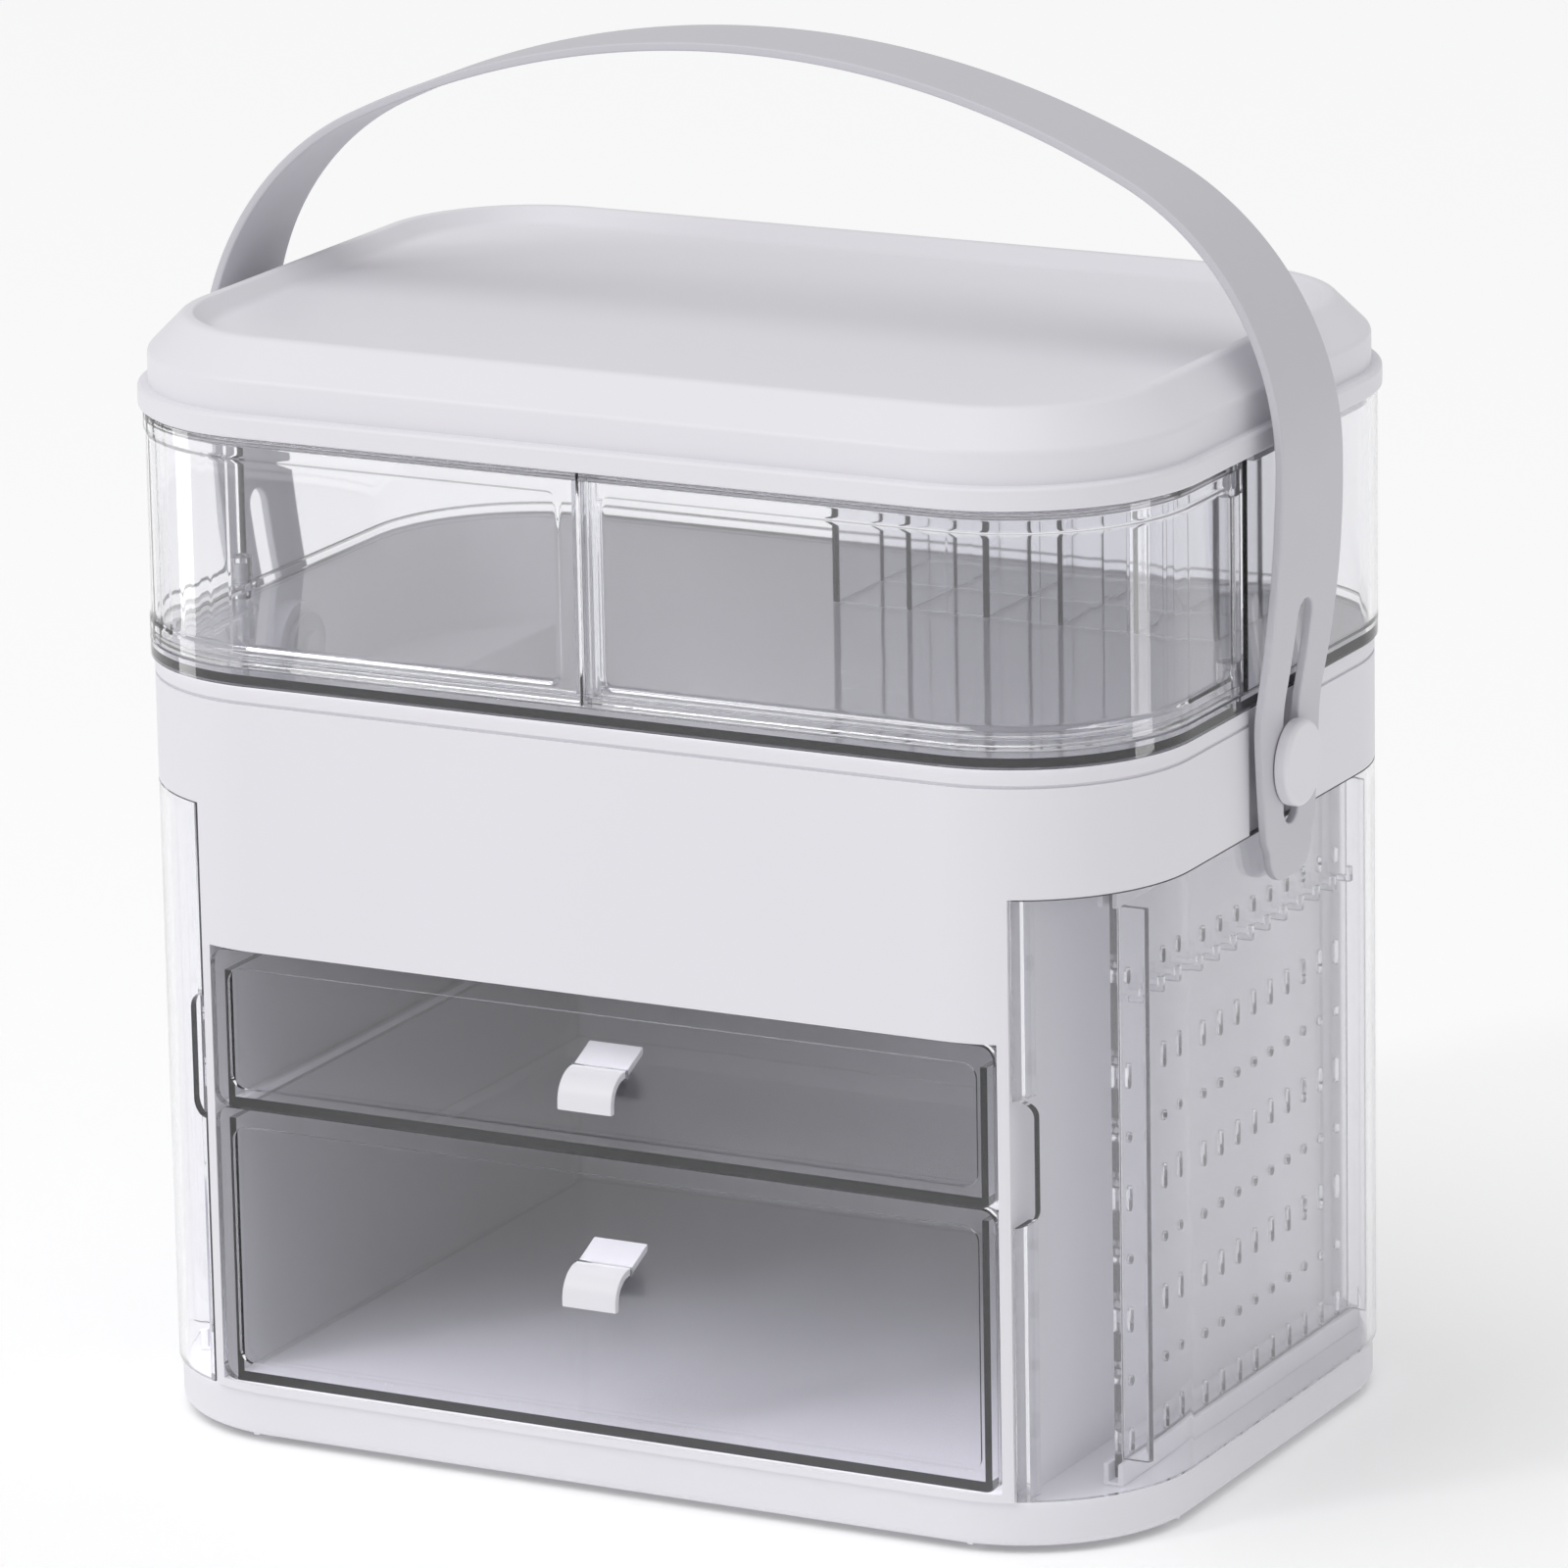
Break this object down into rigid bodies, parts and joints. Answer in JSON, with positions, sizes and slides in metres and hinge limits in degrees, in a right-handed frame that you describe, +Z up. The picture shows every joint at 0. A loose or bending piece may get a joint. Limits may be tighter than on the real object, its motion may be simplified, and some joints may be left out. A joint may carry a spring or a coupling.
{
  "type": "makeup storage case",
  "caption": "Rounded storage case with an arched strap handle, clear upper compartment with double doors, clear drawers and clear side racks for earrings.",
  "frame": {"origin": "middle of the footprint, on the surface that the feet stand on", "axes": "+X to the case's right seen from the front, the front faces -Y, +Z up"},
  "size_m": [0.3224, 0.2101, 0.3741],
  "materials": {
    "white_plastic": "satin moulded",
    "clear_plastic": "clear polished",
    "board_plastic": "clear satin",
    "grey_plastic": "satin",
    "foot_rubber": "matt",
    "steel": "bright"
  },
  "bodies": {
    "case": {"base_plate": "white_plastic", "rubber_feet": "foot_rubber", "body_shell": "white_plastic", "back_panel": "white_plastic", "back_screws": "steel", "drawer_runner_right": "white_plastic", "drawer_runner_left": "white_plastic", "rack_guide_right": "white_plastic", "rack_guide_left": "white_plastic", "upper_tray": "clear_plastic", "rear_window": "clear_plastic", "lid_shell": "white_plastic", "lid_liner": "white_plastic", "organiser_long_walls": "clear_plastic", "organiser_cross_walls": "clear_plastic"},
    "pivots": {"pivot_button_right": "white_plastic", "pivot_button_left": "white_plastic", "button_washers": "steel", "pivot_screws": "steel"},
    "handle": {"handle_strap": "grey_plastic"},
    "drawer_upper": {"drawer_upper_box": "clear_plastic", "drawer_upper_pull": "white_plastic"},
    "drawer_lower": {"drawer_lower_box": "clear_plastic", "drawer_lower_pull": "white_plastic"},
    "door_right": {"door_right": "clear_plastic", "door_pins_right": "steel"},
    "door_left": {"door_left": "clear_plastic", "door_pins_left": "steel"},
    "rack_right": {"rack_cover_right": "clear_plastic", "earring_board_right": "board_plastic", "rack_struts_right": "clear_plastic", "earring_hooks_right": "board_plastic"},
    "rack_left": {"rack_cover_left": "clear_plastic", "earring_board_left": "board_plastic", "rack_struts_left": "clear_plastic", "earring_hooks_left": "board_plastic"}
  },
  "joints": [
    {"name": "handle_fold", "type": "hinge", "parent": "case", "child": "pivots", "pos_m": [0, 0, 0.193], "axis": [-1, 0, 0], "range_deg": [-120, 120]},
    {"name": "handle_slide", "type": "slide", "parent": "pivots", "child": "handle", "axis": [0, 0, 1], "range_m": [0, 0.009]},
    {"name": "drawer_upper_slide", "type": "slide", "parent": "case", "child": "drawer_upper", "axis": [0, -1, 0], "range_m": [0, 0.13]},
    {"name": "drawer_lower_slide", "type": "slide", "parent": "case", "child": "drawer_lower", "axis": [0, -1, 0], "range_m": [0, 0.13]},
    {"name": "door_right_hinge", "type": "hinge", "parent": "case", "child": "door_right", "pos_m": [0.147, -0.0245, 0.247], "axis": [0, 0, 1], "range_deg": [0, 90]},
    {"name": "door_left_hinge", "type": "hinge", "parent": "case", "child": "door_left", "pos_m": [-0.147, -0.0245, 0.247], "axis": [0, 0, -1], "range_deg": [0, 90]},
    {"name": "rack_right_slide", "type": "slide", "parent": "case", "child": "rack_right", "axis": [0, -1, 0], "range_m": [0, 0.11]},
    {"name": "rack_left_slide", "type": "slide", "parent": "case", "child": "rack_left", "axis": [0, -1, 0], "range_m": [0, 0.11]}
  ]
}
